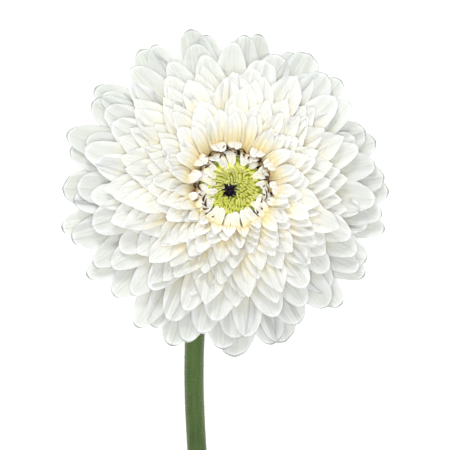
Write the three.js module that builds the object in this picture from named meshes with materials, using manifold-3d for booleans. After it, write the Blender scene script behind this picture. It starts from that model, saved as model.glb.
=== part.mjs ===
// A cut double gerbera lying face up on a table: a white, many-layered bloom on a bare green stem.
// Millimetres, +Z up, the table at z = 0, the stem running towards -Y, the origin in the middle of the
// footprint. The bloom is drawn in a frame of its own, whose +Z is the way that the flower faces.
import * as THREE from "three";
import { mergeVertices } from "three/addons/utils/BufferGeometryUtils.js";
import Module from "manifold-3d";

// ---- How the flower lies ----
const LEAN = THREE.MathUtils.degToRad(25); // the bloom tips forwards, away from its stem
const TURN = THREE.MathUtils.degToRad(6.5); // and a little to the right
const HEAD_HEIGHT = 28.6; // from the table to the foot of the lowest rays
const GAP = 0.35; // between pieces that rest against each other

// ---- Stem ----
const STEM_RADIUS = 3.5;
const STEM_LENGTH = 250; // from the cut end to the place under the bloom's middle
const STEM_ASIDE = 12; // it comes out from under the bloom this far to the left of the middle
const STEM_DRIFT = 0.05; // and runs back this far to the right with each millimetre
const STEM_RISE = 95; // the last stretch, which climbs off the table to the bloom
const STEM_SIDES = 14;

// ---- Green cup under the bloom, and its pointed bracts ----
const CUP_DEPTH = 12;
const CUP_TOP = -1.9;
const NECK_RADIUS = 4.4;
const BRACT_ROWS = [
  { count: 16, root: -9.4, length: 7.6, width: 3.0 },
  { count: 22, root: -6.4, length: 8.6, width: 2.8 },
];
const BRACT_THICKNESS = 0.8;

// ---- White ray florets: each is [outermost, innermost] ----
const RAY_COUNT = 252;
const RAY_REACH = [57, 14]; // from the axis to the tip
const RAY_WIDTH = [12.6, 3.6];
const RAY_ROOT_RADIUS = [13.4, 13.2];
const RAY_ROOT_HEIGHT = [-0.3, 7.4];
const FIRST_ROW = 27; // the outermost rays, which reach nearly as far as each other
const CROWDING = 1.4; // over 1, the inner rays stand closer than the outer ones
const REACH_JITTER = [2.4, 1];
const TURN_JITTER = 0.15;
const FULLER = 2.5; // the rays reach this much further on one side, and fall short on the other
const FULLER_AT = THREE.MathUtils.degToRad(108);
const RAY_LEAVES_AT = [13, 80]; // degrees above the bloom's plane
const RAY_ENDS_AT = [-8, 20];
const RAY_THICKNESS = 0.7; // at the midrib; the edges are thin
const CROWN = 18.7; // the tips lie on a dome of this height
const DOME_RADIUS = 62; // and this radius
const GOLDEN_ANGLE = Math.PI * (3 - Math.sqrt(5));

// ---- Short inner florets that curl over the disc ----
const INNER_COUNT = 25;
const INNER_WIDTH = 2.7;
const INNER_THICKNESS = 0.8;

// ---- Green disc florets and the dark eye ----
const DISC_ROWS = [
  { count: 12, root: 3.5, tip: 3, height: 2.3 },
  { count: 17, root: 5.5, tip: 4.6, height: 3.6 },
  { count: 22, root: 7.5, tip: 6.5, height: 4.8 },
];
const DISC_FOOT = 6.3;
const DISC_FLOOR = 7.2;
const EYE_RADIUS = 2.2;

const { lerp, degToRad } = THREE.MathUtils;
const between = ([from, to], share) => lerp(from, to, share);

// An even scatter from -0.5 to 0.5 that is the same each time: floret number times an irrational step.
const SCATTER = { turn: 0.7548776662, reach: 0.569840291, height: 0.8191725134, roll: 0.6710436067 };
const scatter = (number, step) => ((number * step + 0.5) % 1) - 0.5;

const wasm = await Module();
wasm.setup();

// ---- Solids from meshes and back ----
function solidOf(geometry) {
  geometry.deleteAttribute("normal");
  geometry.deleteAttribute("uv");
  const merged = mergeVertices(geometry, 1e-4);
  return new wasm.Manifold(
    new wasm.Mesh({
      numProp: 3,
      vertProperties: merged.attributes.position.array,
      triVerts: new Uint32Array(merged.index.array),
    }),
  );
}

// Joins the pieces and keeps the one body that they make.
function fused(geometries) {
  const joined = geometries.map(solidOf).reduce((body, next) => body.add(next));
  const largest = joined.decompose().reduce((a, b) => (b.volume() > a.volume() ? b : a));
  const mesh = largest.getMesh();
  return new THREE.BufferGeometry()
    .setAttribute("position", new THREE.BufferAttribute(mesh.vertProperties, 3))
    .setIndex(new THREE.BufferAttribute(mesh.triVerts, 1));
}

// A closed body through a row of sections, each a ring of the same number of points.
function lofted(sections) {
  const sides = sections[0].length;
  const last = (sections.length - 1) * sides;
  const faces = [];
  for (let row = 0; row < last; row += sides) {
    for (let i = 0; i < sides; i++) {
      const a = row + i;
      const b = row + ((i + 1) % sides);
      faces.push(a, b, b + sides, a, b + sides, a + sides);
    }
  }
  for (let i = 1; i < sides - 1; i++) {
    faces.push(0, i + 1, i, last, last + i, last + i + 1);
  }
  return new THREE.BufferGeometry().setFromPoints(sections.flat()).setIndex(faces);
}

// A body of revolution about the bloom's axis, from [radius, height] pairs.
function revolved(outline, sides) {
  const profile = outline.map(([radius, height]) => new THREE.Vector2(radius, height));
  return new THREE.LatheGeometry(profile, sides).rotateX(Math.PI / 2);
}

// ---- Blades: rays, bracts and inner florets are built alike ----
// The path gives the midline as { radius, height } for each share of the length. The section is a thin
// lens, its edges raised towards the axis.
function blade({ path, stations, width, shape, thickness, cup, azimuth, roll = 0 }) {
  const outwards = new THREE.Vector3(Math.cos(azimuth), Math.sin(azimuth), 0);
  const across = new THREE.Vector3(-Math.sin(azimuth), Math.cos(azimuth), 0);
  const at = (share) => {
    const { radius, height } = path(share);
    return outwards.clone().multiplyScalar(radius).setZ(height);
  };
  return stations.map((share) => {
    const middle = at(share);
    const along = at(share + 0.01).sub(at(share - 0.01)).normalize();
    const upper = new THREE.Vector3().crossVectors(along, across);
    const half = (width * shape(share)) / 2;
    const point = (side, rise) =>
      middle.clone().addScaledVector(across, side).addScaledVector(upper, rise + side * roll);
    return [
      point(-half, cup * half),
      point(0, -thickness / 2),
      point(half, cup * half),
      point(0, thickness / 2),
    ];
  });
}

// A curve through two ends, each left in its own direction (an angle above the bloom's plane).
function arched(root, leavesAt, tip, endsAt) {
  const handle = 0.38 * Math.hypot(tip.radius - root.radius, tip.height - root.height);
  const along = ({ radius, height }, angle, distance) => ({
    radius: radius + distance * Math.cos(angle),
    height: height + distance * Math.sin(angle),
  });
  const corners = [root, along(root, leavesAt, handle), along(tip, endsAt, -handle), tip];
  return (share) => {
    const rest = 1 - share;
    const weights = [rest ** 3, 3 * rest ** 2 * share, 3 * rest * share ** 2, share ** 3];
    const sum = (key) => weights.reduce((total, weight, i) => total + weight * corners[i][key], 0);
    return { radius: sum("radius"), height: sum("height") };
  };
}

// ---- The bloom's place on the table ----
const bloom = new THREE.Group();
bloom.rotation.set(-LEAN, TURN, 0, "YXZ");
bloom.position.z = HEAD_HEIGHT;
const facing = new THREE.Vector3(0, 0, 1).applyQuaternion(bloom.quaternion);
const tableUp = new THREE.Vector3(0, 0, 1).applyQuaternion(bloom.quaternion.clone().invert());

// A ray that would go into the table lies flat on it.
function keptOffTable(ring) {
  const height = HEAD_HEIGHT + Math.min(...ring.map((point) => point.dot(tableUp)));
  return ring.map((point) => point.addScaledVector(tableUp, Math.max(0, -height)));
}

// ---- White ray florets ----
// Number 0 is the outermost. Each next one stands a golden angle round, shorter, higher and steeper.
function rayPath(number, azimuth) {
  const share = number / (RAY_COUNT - 1);
  const left = 1 - Math.max(0, number - FIRST_ROW) / (RAY_COUNT - 1 - FIRST_ROW);
  const inwards = Math.max(0.0026 * number, 1 - left ** CROWDING);
  const even = between(RAY_REACH, inwards);
  const fuller = FULLER * Math.cos(azimuth - FULLER_AT) * (even / RAY_REACH[0]) ** 2;
  const reach = even + fuller + between(REACH_JITTER, inwards) * scatter(number, SCATTER.reach);
  const dome = between(RAY_REACH, Math.max(share, inwards)) ** 2 / (2 * DOME_RADIUS);
  const root = {
    radius: between(RAY_ROOT_RADIUS, share),
    height: between(RAY_ROOT_HEIGHT, share),
  };
  const tip = {
    radius: reach,
    height: CROWN - dome + scatter(number, SCATTER.height),
  };
  const leavesAt = degToRad(between(RAY_LEAVES_AT, share));
  const endsAt = degToRad(between(RAY_ENDS_AT, share));
  return { path: arched(root, leavesAt, tip, endsAt), width: between(RAY_WIDTH, inwards) };
}

// Narrow at the root, widest two thirds of the way out, with a blunt round tip.
function rayShape(share) {
  const widest = 0.66;
  if (share < widest) return 0.34 + 0.66 * Math.sin((Math.PI / 2) * (share / widest));
  return Math.sqrt(1 - ((share - widest) / (1 - widest)) ** 2);
}

function rayFloret(number) {
  const azimuth = number * GOLDEN_ANGLE + TURN_JITTER * scatter(number, SCATTER.turn);
  const { path, width } = rayPath(number, azimuth);
  const buried = 0.36 - 0.3 * (number / RAY_COUNT);
  const rings = blade({
    path,
    stations: number < 1.5 * FIRST_ROW ? [0, 0.42, 0.72, 0.9, 0.985] : [buried, 0.78, 0.97],
    width,
    shape: rayShape,
    thickness: RAY_THICKNESS,
    cup: 0.08,
    azimuth,
    roll: 0.06 * scatter(number, SCATTER.roll),
  });
  return lofted(rings.map(keptOffTable));
}

// The rays stand on the flower's base, whose heart they hide.
function rayBase() {
  const outline = [
    [0, CUP_TOP + GAP],
    [13.6, CUP_TOP + GAP],
    [15.6, -0.8],
    [24, 0.6],
    [34, 1.8],
    [38, 2.2],
    [33, 5],
    [26, 9],
    [19, 11.8],
    [16.4, 11.4],
    [14.2, 10],
    [12.5, 8.8],
    [12.2, 8.4],
    [12.2, 3.6],
    [0, 3.6],
  ];
  return revolved(outline, 26);
}

function rayFlorets() {
  const rays = Array.from({ length: RAY_COUNT }, (_, number) => rayFloret(number));
  return fused([rayBase(), ...rays]);
}

// ---- Short inner florets, on a plate inside the base ----
function innerFlorets() {
  const plate = revolved([[0, 3.95], [11.4, 3.95], [11.4, 5], [10.8, 5.95], [0, 5.95]], 25);
  const widths = [0.7, 0.9, 1, 0.45];
  const curls = Array.from({ length: INNER_COUNT }, (_, number) => {
    const bend = scatter(number, SCATTER.reach);
    const root = { radius: 10.5, height: 4.6 };
    const tip = { radius: 8.8 - bend, height: 13.9 + 0.6 * bend };
    const rings = blade({
      path: arched(root, degToRad(72), tip, degToRad(160)),
      stations: widths.map((_width, i) => i / (widths.length - 1)),
      width: INNER_WIDTH,
      shape: (share) => widths[Math.round(share * (widths.length - 1))],
      thickness: INNER_THICKNESS,
      cup: 0.1,
      azimuth: ((number + 0.3 * scatter(number, SCATTER.turn)) / INNER_COUNT) * 2 * Math.PI,
    });
    return lofted(rings);
  });
  return fused([plate, ...curls]);
}

// ---- Green disc florets: narrow buds round a bowl ----
function discBud(row, azimuth, rise) {
  const ring = (radius, height, size) =>
    [0, 1, 2].map((corner) => {
      const angle = (corner / 3) * 2 * Math.PI;
      return new THREE.Vector3(radius + 0.8 * size * Math.cos(angle), size * Math.sin(angle), height);
    });
  const bud = lofted([
    ring(row.root, DISC_FLOOR + 0.2, 0.7),
    ring(row.root + 0.15, DISC_FLOOR + 0.6 + 0.55 * row.height, 0.92),
    ring(row.tip, DISC_FLOOR + 0.6 + row.height + rise, 0.28),
  ]);
  return bud.rotateZ(azimuth);
}

function discFlorets() {
  const outline = [
    [0, DISC_FOOT],
    [9, DISC_FOOT],
    [9, DISC_FLOOR + 1],
    [7.4, DISC_FLOOR + 1],
    [EYE_RADIUS + 1.3, DISC_FLOOR + 0.7],
    [EYE_RADIUS + 0.4, DISC_FLOOR],
    [0, DISC_FLOOR],
  ];
  const buds = DISC_ROWS.flatMap((row, rowNumber) =>
    Array.from({ length: row.count }, (_, number) => {
      const place = number + rowNumber / 2 + 0.3 * scatter(number, SCATTER.turn);
      return discBud(row, (place / row.count) * 2 * Math.PI, 0.6 * scatter(number, SCATTER.height));
    }),
  );
  return fused([revolved(outline, 24), ...buds]);
}

// ---- Dark eye: a knot of closed buds in the bowl ----
function discEye() {
  const foot = DISC_FLOOR + GAP;
  const knot = [[0, foot], [EYE_RADIUS, foot], [EYE_RADIUS, foot + 0.5], [0, foot + 0.8]];
  const buds = Array.from({ length: 7 }, (_, number) =>
    new THREE.ConeGeometry(0.62, 1.3, 5)
      .rotateX(Math.PI / 2)
      .translate(number ? 1.2 : 0, 0, foot + 0.75)
      .rotateZ((number / 6) * 2 * Math.PI),
  );
  return fused([revolved(knot, 12), ...buds]);
}

// ---- Green cup and bracts ----
const cupOutline = [
  [NECK_RADIUS, -CUP_DEPTH],
  [5.4, 1.2 - CUP_DEPTH],
  [8.6, 3.8 - CUP_DEPTH],
  [12, 7 - CUP_DEPTH],
  [13.4, CUP_TOP],
];

function cupRadius(height) {
  const upper = cupOutline.findIndex(([, top]) => top >= height);
  const [[lowRadius, low], [highRadius, high]] = cupOutline.slice(upper - 1, upper + 1);
  return lerp(lowRadius, highRadius, (height - low) / (high - low));
}

function bract(row, azimuth) {
  const radius = cupRadius(row.root);
  const root = { radius: radius - 1, height: row.root };
  const tip = { radius: radius + 0.84 * row.length, height: row.root + 0.5 * row.length };
  const rings = blade({
    path: arched(root, degToRad(62), tip, degToRad(8)),
    stations: [0, 0.5, 0.97],
    width: row.width,
    shape: (share) => 1 - 0.85 * share ** 2,
    thickness: BRACT_THICKNESS,
    cup: 0.1,
    azimuth,
  });
  return lofted(rings);
}

function involucre() {
  const cup = revolved([[0, -CUP_DEPTH], ...cupOutline, [0, CUP_TOP]], 22);
  const bracts = BRACT_ROWS.flatMap((row, rowNumber) =>
    Array.from({ length: row.count }, (_, number) =>
      bract(row, ((number + rowNumber / 2) / row.count) * 2 * Math.PI),
    ),
  );
  return fused([cup, ...bracts]);
}

// ---- Stem: along the table, then up into the cup ----
function stem() {
  const lies = STEM_RADIUS * Math.cos(Math.PI / STEM_SIDES);
  const top = bloom.position.clone().addScaledVector(facing, -CUP_DEPTH - GAP);
  const leavesTable = new THREE.Vector3(-STEM_ASIDE, -STEM_RISE, lies);
  const ahead = new THREE.Vector3(-STEM_DRIFT, 1, 0).normalize();
  const lying = new THREE.LineCurve3(
    leavesTable.clone().addScaledVector(ahead, STEM_RISE - STEM_LENGTH),
    leavesTable,
  );
  const rising = new THREE.CubicBezierCurve3(
    leavesTable,
    leavesTable.clone().addScaledVector(ahead, 0.66 * STEM_RISE),
    top.clone().addScaledVector(facing, -14),
    top,
  );
  const centres = [...lying.getPoints(4), ...rising.getPoints(18).slice(1)];
  const neckFrom = centres.length - 6;
  const sideways = new THREE.Vector3(1, 0, 0);
  const sections = centres.map((centre, i) => {
    const before = centres[Math.max(0, i - 1)];
    const along = i < centres.length - 1 ? centres[i + 1].clone().sub(before).normalize() : facing;
    const over = new THREE.Vector3().crossVectors(sideways, along).normalize();
    const left = new THREE.Vector3().crossVectors(over, along);
    const neck = Math.max(0, (i - neckFrom) / (centres.length - 1 - neckFrom));
    const radius = lerp(STEM_RADIUS, NECK_RADIUS - 0.2, neck);
    return Array.from({ length: STEM_SIDES }, (_, corner) => {
      const angle = (corner / STEM_SIDES) * 2 * Math.PI;
      return centre
        .clone()
        .addScaledVector(left, radius * Math.cos(angle))
        .addScaledVector(over, radius * Math.sin(angle));
    });
  });
  return lofted(sections);
}

// ---- The flower ----
function piece(name, geometry, color, roughness) {
  const material = new THREE.MeshStandardMaterial({ color, roughness, metalness: 0 });
  const mesh = new THREE.Mesh(geometry, material);
  mesh.name = name;
  return mesh;
}

bloom.add(
  piece("ray_florets", rayFlorets(), "#f3f1e6", 0.55),
  piece("inner_florets", innerFlorets(), "#f0e8cf", 0.55),
  piece("disc_florets", discFlorets(), "#bcc44a", 0.5),
  piece("disc_eye", discEye(), "#1d1626", 0.6),
  piece("involucre", involucre(), "#5f7f3c", 0.6),
);

const flower = new THREE.Group();
flower.add(bloom, piece("stem", stem(), "#6d8a4c", 0.5));
flower.updateMatrixWorld(true);

const footprint = new THREE.Box3().setFromObject(flower, true);
const middle = footprint.getCenter(new THREE.Vector3());
flower.position.set(-middle.x, -middle.y, -footprint.min.z);

export default new THREE.Group().add(flower);
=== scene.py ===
# A cut white double gerbera, lying face up on a pale table.
import math
import bmesh
import bpy
from mathutils import Euler, Matrix, Vector


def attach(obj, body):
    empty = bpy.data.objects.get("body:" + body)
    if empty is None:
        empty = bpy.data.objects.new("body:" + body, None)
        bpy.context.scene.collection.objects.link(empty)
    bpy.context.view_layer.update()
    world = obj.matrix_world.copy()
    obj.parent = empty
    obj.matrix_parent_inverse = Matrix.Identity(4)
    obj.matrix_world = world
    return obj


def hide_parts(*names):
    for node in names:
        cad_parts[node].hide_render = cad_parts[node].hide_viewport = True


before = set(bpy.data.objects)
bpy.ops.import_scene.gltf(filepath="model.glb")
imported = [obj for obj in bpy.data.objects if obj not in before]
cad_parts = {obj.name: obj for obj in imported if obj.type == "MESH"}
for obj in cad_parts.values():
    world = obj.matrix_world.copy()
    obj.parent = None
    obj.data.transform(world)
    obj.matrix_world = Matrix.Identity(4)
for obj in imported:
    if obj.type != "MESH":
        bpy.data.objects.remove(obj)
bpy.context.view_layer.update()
print("stage: the packed flower is loaded")

# The bloom is drawn in millimetres in a frame of its own, whose +Z is the way that the flower faces.
bloomPlace = {"middle": (0.819, 99.95, 28.6), "lean": 25, "turn": 6.5}  # mm and degrees, as in the CAD
bloomTurn = Euler((-math.radians(bloomPlace["lean"]), math.radians(bloomPlace["turn"]), 0)).to_matrix()
tableUp = tuple(bloomTurn.inverted() @ Vector((0, 0, 1)))
millimetre = Matrix.Scale(0.001, 4)
ontoTable = millimetre @ Matrix.Translation(bloomPlace["middle"]) @ bloomTurn.to_4x4()

goldenAngle = math.pi * (3 - math.sqrt(5))
# A floret's own turn, reach and so on come from its number times one of these, so they never change.
scatterSteps = {
    "turn": 0.7548776662, "reach": 0.569840291, "height": 0.8191725134, "roll": 0.6710436067,
    "sway": 0.4656123, "tone": 0.3819660113, "curl": 0.8566748838, "girth": 0.7336432,
}


def linear(code):
    channels = [int(code[i : i + 2], 16) / 255 for i in (1, 3, 5)]
    return (*[c / 12.92 if c <= 0.04045 else ((c + 0.055) / 1.055) ** 2.4 for c in channels], 1)


# Adds a node. Links are sockets or plain values, in the order of the node's inputs or by name.
def add(tree, kind, links=(), points=(), stops=(), **settings):
    node = tree.nodes.new(kind)
    for name, value in settings.items():
        setattr(node, name, value)
    if points:  # of a float curve
        places = node.mapping.curves[0].points
        places[0].location, places[1].location = points[0], points[-1]
        for place in points[1:-1]:
            places.new(*place)
        node.mapping.update()
    if stops:  # of a colour ramp
        ramp = node.color_ramp.elements
        for element, (place, code) in ((ramp[0], stops[0]), (ramp[1], stops[-1])):
            element.position, element.color = place, linear(code)
        for place, code in stops[1:-1]:
            ramp.new(place).color = linear(code)
    inputs = [socket for socket in node.inputs if socket.enabled]
    for key, value in links.items() if isinstance(links, dict) else enumerate(links):
        socket = node.inputs[key] if isinstance(key, str) else inputs[key]
        if isinstance(value, bpy.types.NodeSocket):
            tree.links.new(value, socket)
        elif value is not None:
            socket.default_value = linear(value) if socket.type == "RGBA" else value
    return next((socket for socket in node.outputs if socket.enabled), None)


# A Geometry Nodes tree with a named input for each size.
def newTree(name, sizes):
    tree = bpy.data.node_groups.new(name, "GeometryNodeTree")
    tree.is_modifier = True
    tree.interface.new_socket("Geometry", in_out="OUTPUT", socket_type="NodeSocketGeometry")
    for key, value in sizes.items():
        kind = "NodeSocketInt" if isinstance(value, int) else "NodeSocketFloat"
        tree.interface.new_socket(key, in_out="INPUT", socket_type=kind)
    return tree, tree.nodes.new("NodeGroupInput").outputs


def placed(name, data):
    thing = bpy.data.objects.new(name, data)
    bpy.context.scene.collection.objects.link(thing)
    return thing


# Runs a tree on a curve, or on an empty mesh, and keeps what grows as a plain mesh.
def grown(name, tree, sizes, place=ontoTable, curve=None):
    host = placed("host", curve if curve else bpy.data.meshes.new("host"))
    modifier = host.modifiers.new(name, "NODES")
    modifier.node_group = tree
    for socket in tree.interface.items_tree:
        if socket.in_out == "INPUT" and socket.name in sizes:
            modifier[socket.identifier] = sizes[socket.name]
    shape = bpy.data.meshes.new_from_object(host.evaluated_get(bpy.context.evaluated_depsgraph_get()))
    bpy.data.objects.remove(host)  # and its modifier
    shape.name = name
    shape.transform(place)
    return placed(name, shape)


def finished(piece, node):
    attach(piece, "root")
    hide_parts(node)
    print("stage:", piece.name, len(piece.data.polygons), "faces")


# A body turned about the bloom's axis, from [radius, height] pairs that start and end on the axis.
def turned(name, outline, steps, material):
    shape = bmesh.new()
    ring = [shape.verts.new((radius, 0, height)) for radius, height in outline]
    edges = [shape.edges.new(pair) for pair in zip(ring, ring[1:])]
    bmesh.ops.spin(shape, geom=ring + edges, cent=(0, 0, 0), axis=(0, 0, 1), angle=2 * math.pi, steps=steps)
    bmesh.ops.remove_doubles(shape, verts=shape.verts[:], dist=0.001)
    bmesh.ops.recalc_face_normals(shape, faces=shape.faces[:])
    mesh = bpy.data.meshes.new(name)
    shape.to_mesh(mesh)
    shape.free()
    mesh.transform(ontoTable)
    mesh.shade_smooth()
    mesh.materials.append(material)
    return placed(name, mesh)


# Petals, curled florets, buds and bracts are all blades: thin closed strips, each bent to a curve of its
# own. Lengths are in mm and angles in degrees. Each kind of blade keeps these sizes or gives its own.
blade = {
    "firstNumber": 0,
    "rows": 6, "columns": 3,  # of the strip's points, along and across it
    "bow": 0.38,  # how long the midline keeps to its first and last way, as a share of its span
    "thickness": 0.5, "rim": -0.6,  # in the middle, and how much thicker the edges are, as a share
    "cup": 0.0, "groove": 0.0,  # how high the edges stand and how deep the grooves are, per half width
    "roll": 0.5, "sway": 1.0,  # how far a blade tips sideways and its tip strays, half of it either way
    "tipRound": 0.04, "tipBend": 2.2,  # how far back the tip's corners are drawn, and how sharply
    "tipLift": 0.0,  # how far the tip turns up
    "layer": 1.0,  # 0 for the outermost petal and 1 for the innermost
}


# A chance value from -0.5 to 0.5, which is the floret's own.
def scattered(tree, number, step):
    steps = add(tree, "ShaderNodeMath", [number, scatterSteps[step], 0.5], operation="MULTIPLY_ADD")
    share = add(tree, "ShaderNodeMath", [steps], operation="FRACT")
    return add(tree, "ShaderNodeMath", [share, 0.5], operation="SUBTRACT")


# A size that strays from floret to floret, by up to half of the jitter either way.
def strayed(tree, number, step, size, jitter):
    chance = scattered(tree, number, step)
    return add(tree, "ShaderNodeMath", [chance, jitter, size], operation="MULTIPLY_ADD")


# 1 for a floret on the side that is given in degrees, falling to -1 on the opposite side.
def towards(tree, azimuth, side):
    side = add(tree, "ShaderNodeMath", [side], operation="RADIANS")
    away = add(tree, "ShaderNodeMath", [azimuth, side], operation="SUBTRACT")
    return add(tree, "ShaderNodeMath", [away], operation="COSINE")


# The midline is a curve from root to tip that leaves each at its own angle above the bloom's plane.
# Gives the spot that lies the share "along" on its way, and the way up from there.
def midline(tree, floret, along):
    root = add(tree, "ShaderNodeCombineXYZ", [floret["rootRadius"], 0, floret["rootHeight"]])
    tip = add(tree, "ShaderNodeCombineXYZ", [floret["tipRadius"], 0, floret["tipHeight"]])
    handle = add(tree, "ShaderNodeVectorMath", [root, tip], operation="DISTANCE")
    handle = add(tree, "ShaderNodeMath", [handle, floret["bow"]], operation="MULTIPLY")
    corners = [root]
    for end, angle, way in ((root, "leavesAt", 1), (tip, "endsAt", -1)):
        turn = add(tree, "ShaderNodeMath", [floret[angle]], operation="RADIANS")
        reach = add(tree, "ShaderNodeMath", [handle, way], operation="MULTIPLY")
        level = add(tree, "ShaderNodeMath", [turn], operation="COSINE")
        climb = add(tree, "ShaderNodeMath", [turn], operation="SINE")
        aim = add(tree, "ShaderNodeCombineXYZ", [level, 0, climb])
        aim = add(tree, "ShaderNodeVectorMath", [aim, reach], operation="SCALE")
        corners.append(add(tree, "ShaderNodeVectorMath", [end, aim], operation="ADD"))
    corners.append(tip)
    while len(corners) > 2:
        corners = [
            add(tree, "ShaderNodeMix", [along, a, b], data_type="VECTOR", clamp_factor=False)
            for a, b in zip(corners, corners[1:])
        ]
    middle = add(tree, "ShaderNodeMix", [along, *corners], data_type="VECTOR", clamp_factor=False)
    heading = add(tree, "ShaderNodeVectorMath", corners[::-1], operation="SUBTRACT")
    upper = add(tree, "ShaderNodeVectorMath", [heading, (0, 1, 0)], operation="CROSS_PRODUCT")
    return middle, add(tree, "ShaderNodeVectorMath", [upper], operation="NORMALIZE")


# Across the midline a blade is a spoon with raised edges, two fine grooves and thin rims.
# Gives how far a point lies to the side of the midline, and how far above it.
def crossSection(tree, floret, number, half, row, side, z):
    aside = add(tree, "ShaderNodeMath", [half, side], operation="MULTIPLY")
    squared = add(tree, "ShaderNodeMath", [side, side], operation="MULTIPLY")
    cup = add(tree, "ShaderNodeMath", [row, floret["cup"], floret["cup"]], operation="MULTIPLY_ADD")
    rise = add(tree, "ShaderNodeMath", [squared, cup], operation="MULTIPLY")
    ripple = add(tree, "ShaderNodeMath", [side, 3 * math.pi], operation="MULTIPLY")
    ripple = add(tree, "ShaderNodeMath", [ripple], operation="COSINE")  # low a third of the way out
    grooved = strayed(tree, number, "girth", 1, 1.8)  # some blades have hardly any groove
    grooved = add(tree, "ShaderNodeMath", [grooved, floret["groove"]], operation="MULTIPLY")
    rise = add(tree, "ShaderNodeMath", [ripple, grooved, rise], operation="MULTIPLY_ADD")
    rise = add(tree, "ShaderNodeMath", [rise, half], operation="MULTIPLY")
    roll = strayed(tree, number, "roll", 0, floret["roll"])
    rise = add(tree, "ShaderNodeMath", [aside, roll, rise], operation="MULTIPLY_ADD")
    curl = add(tree, "ShaderNodeMath", [row, 5], operation="POWER")  # nothing until near the tip
    rise = add(tree, "ShaderNodeMath", [curl, floret["tipLift"], rise], operation="MULTIPLY_ADD")
    thin = add(tree, "ShaderNodeMath", [squared, floret["rim"], 1], operation="MULTIPLY_ADD")
    thin = add(tree, "ShaderNodeMath", [thin, floret["thickness"]], operation="MULTIPLY")
    return aside, add(tree, "ShaderNodeMath", [z, thin, rise], operation="MULTIPLY_ADD")


# What would go into the table lies 0.3 mm above it, and bends to it within 1.5 mm.
def laidOnTable(tree, spot, z):
    height = add(tree, "ShaderNodeVectorMath", [spot, tableUp], operation="DOT_PRODUCT")
    height = add(tree, "ShaderNodeMath", [height, bloomPlace["middle"][2]], operation="ADD")
    least = add(tree, "ShaderNodeMath", [z, 0.5, 0.3], operation="MULTIPLY_ADD")
    kept = add(tree, "ShaderNodeMath", [height, least, 1.5], operation="SMOOTH_MAX")
    raised = add(tree, "ShaderNodeMath", [kept, height], operation="SUBTRACT")
    raised = add(tree, "ShaderNodeVectorMath", [tableUp, raised], operation="SCALE")
    return add(tree, "ShaderNodeVectorMath", [spot, raised], operation="ADD")


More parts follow.
